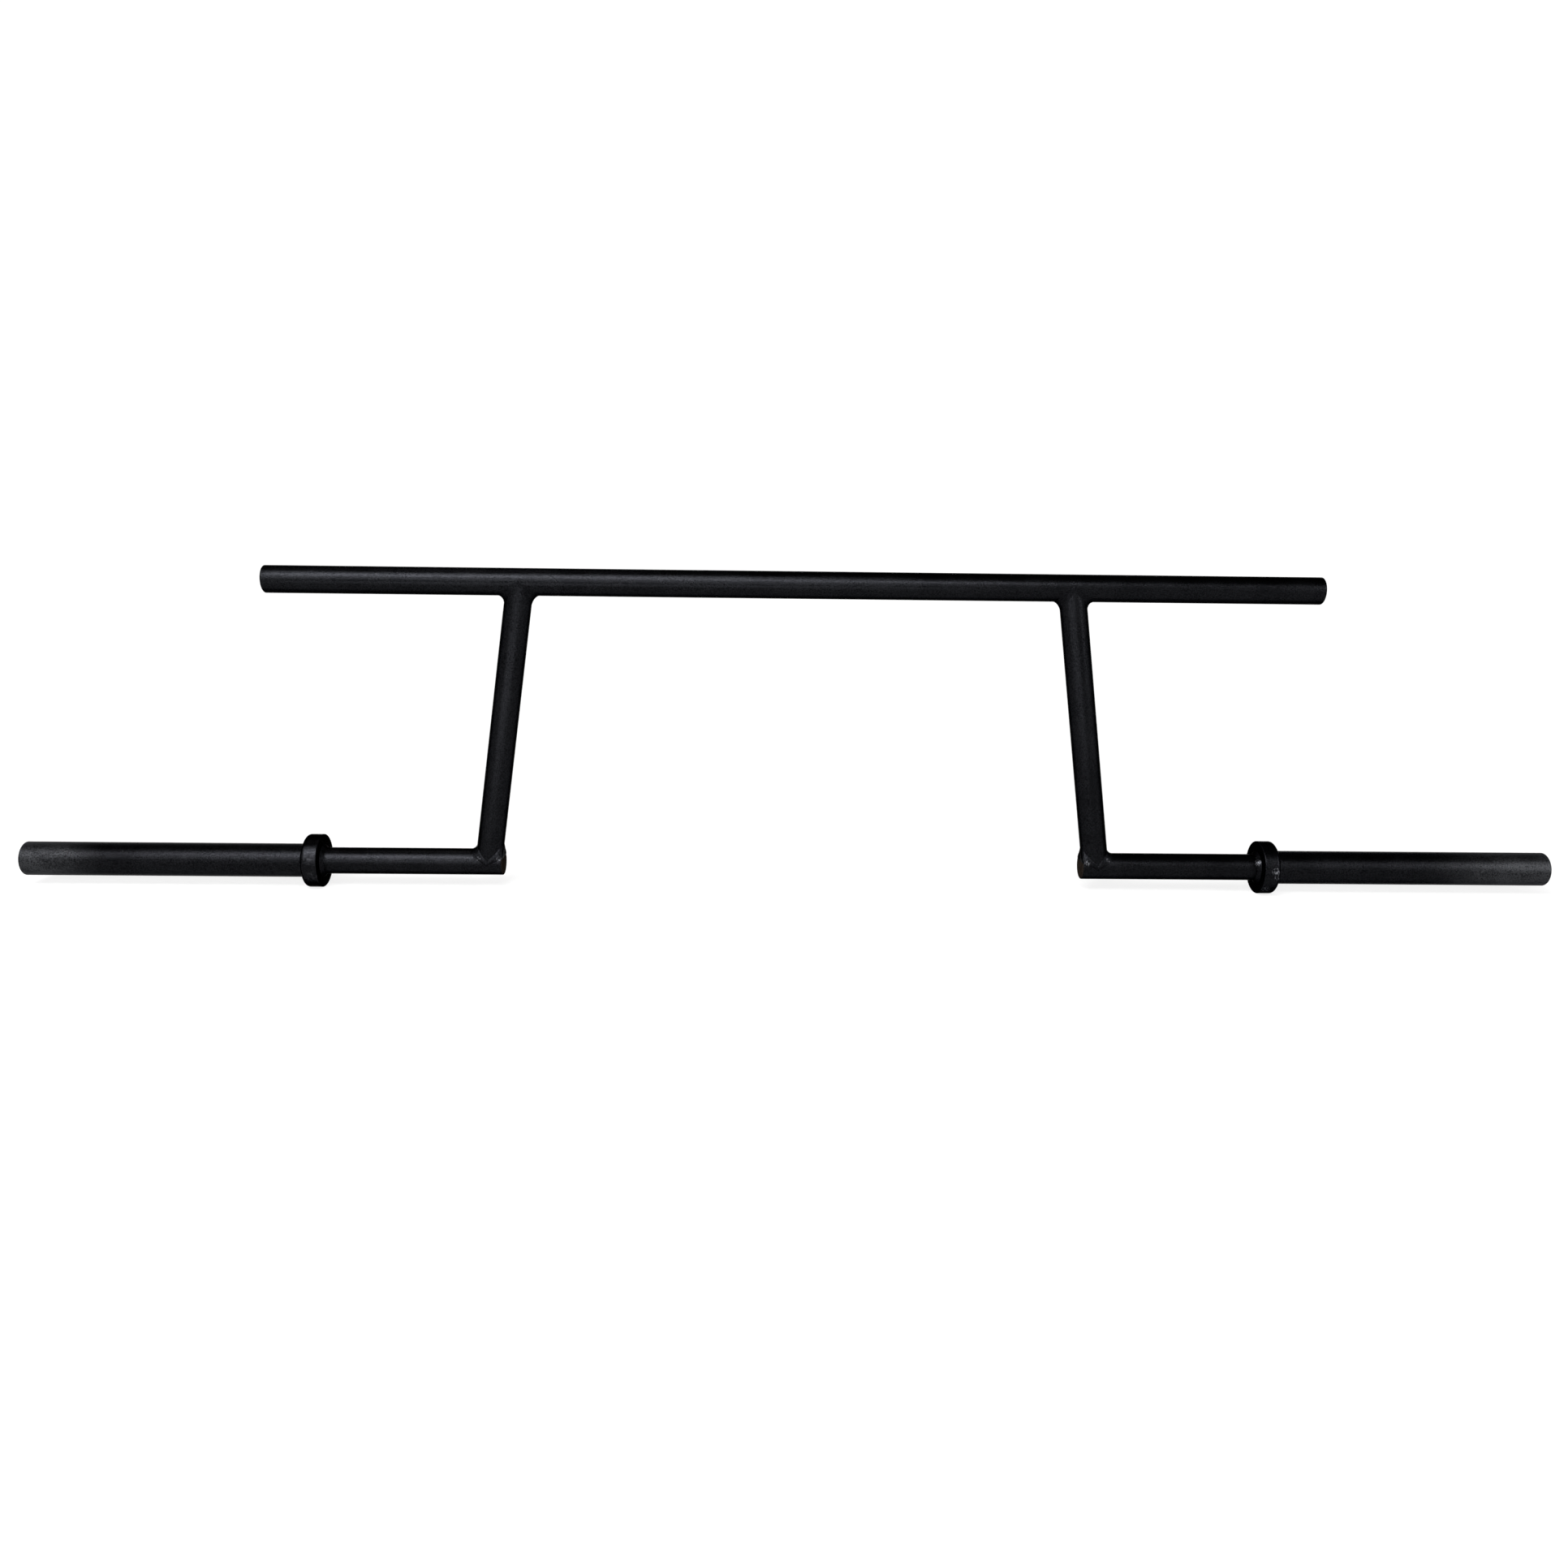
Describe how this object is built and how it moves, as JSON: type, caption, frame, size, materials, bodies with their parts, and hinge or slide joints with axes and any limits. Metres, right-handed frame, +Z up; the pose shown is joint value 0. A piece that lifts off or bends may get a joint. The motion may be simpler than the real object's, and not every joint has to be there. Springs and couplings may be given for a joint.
{
  "type": "cambered bar",
  "caption": "Welded steel lifting bar with a straight back rest, splayed struts dropping to low arms, stop collars and plate sleeves.",
  "frame": {"origin": "middle of the straight top bar, on its axis", "axes": "+X along the top bar to the lifter's right as seen from the front, +Y away from the viewer of the front, +Z up; the whole bar lies in the plane Y = 0"},
  "size_m": [2.2, 0.0762, 0.4572],
  "materials": {
    "shaft": "satin black paint, fine grain",
    "sleeve": "satin black paint, rubbed by plates",
    "collar": "satin black paint",
    "weld": "satin black paint over weld metal"
  },
  "bodies": {
    "root": {"top_bar": "shaft", "top_bar_left_plug": "shaft", "top_bar_right_plug": "shaft", "left_strut": "shaft", "left_arm": "shaft", "left_collar": "collar", "left_sleeve": "sleeve", "left_strut_top_weld": "weld", "left_strut_foot_weld": "weld", "left_collar_weld": "weld", "left_sleeve_root_weld": "weld", "left_sleeve_end_weld": "weld", "right_strut": "shaft", "right_arm": "shaft", "right_collar": "collar", "right_sleeve": "sleeve", "right_strut_top_weld": "weld", "right_strut_foot_weld": "weld", "right_collar_weld": "weld", "right_sleeve_root_weld": "weld", "right_sleeve_end_weld": "weld"}
  },
  "joints": []
}
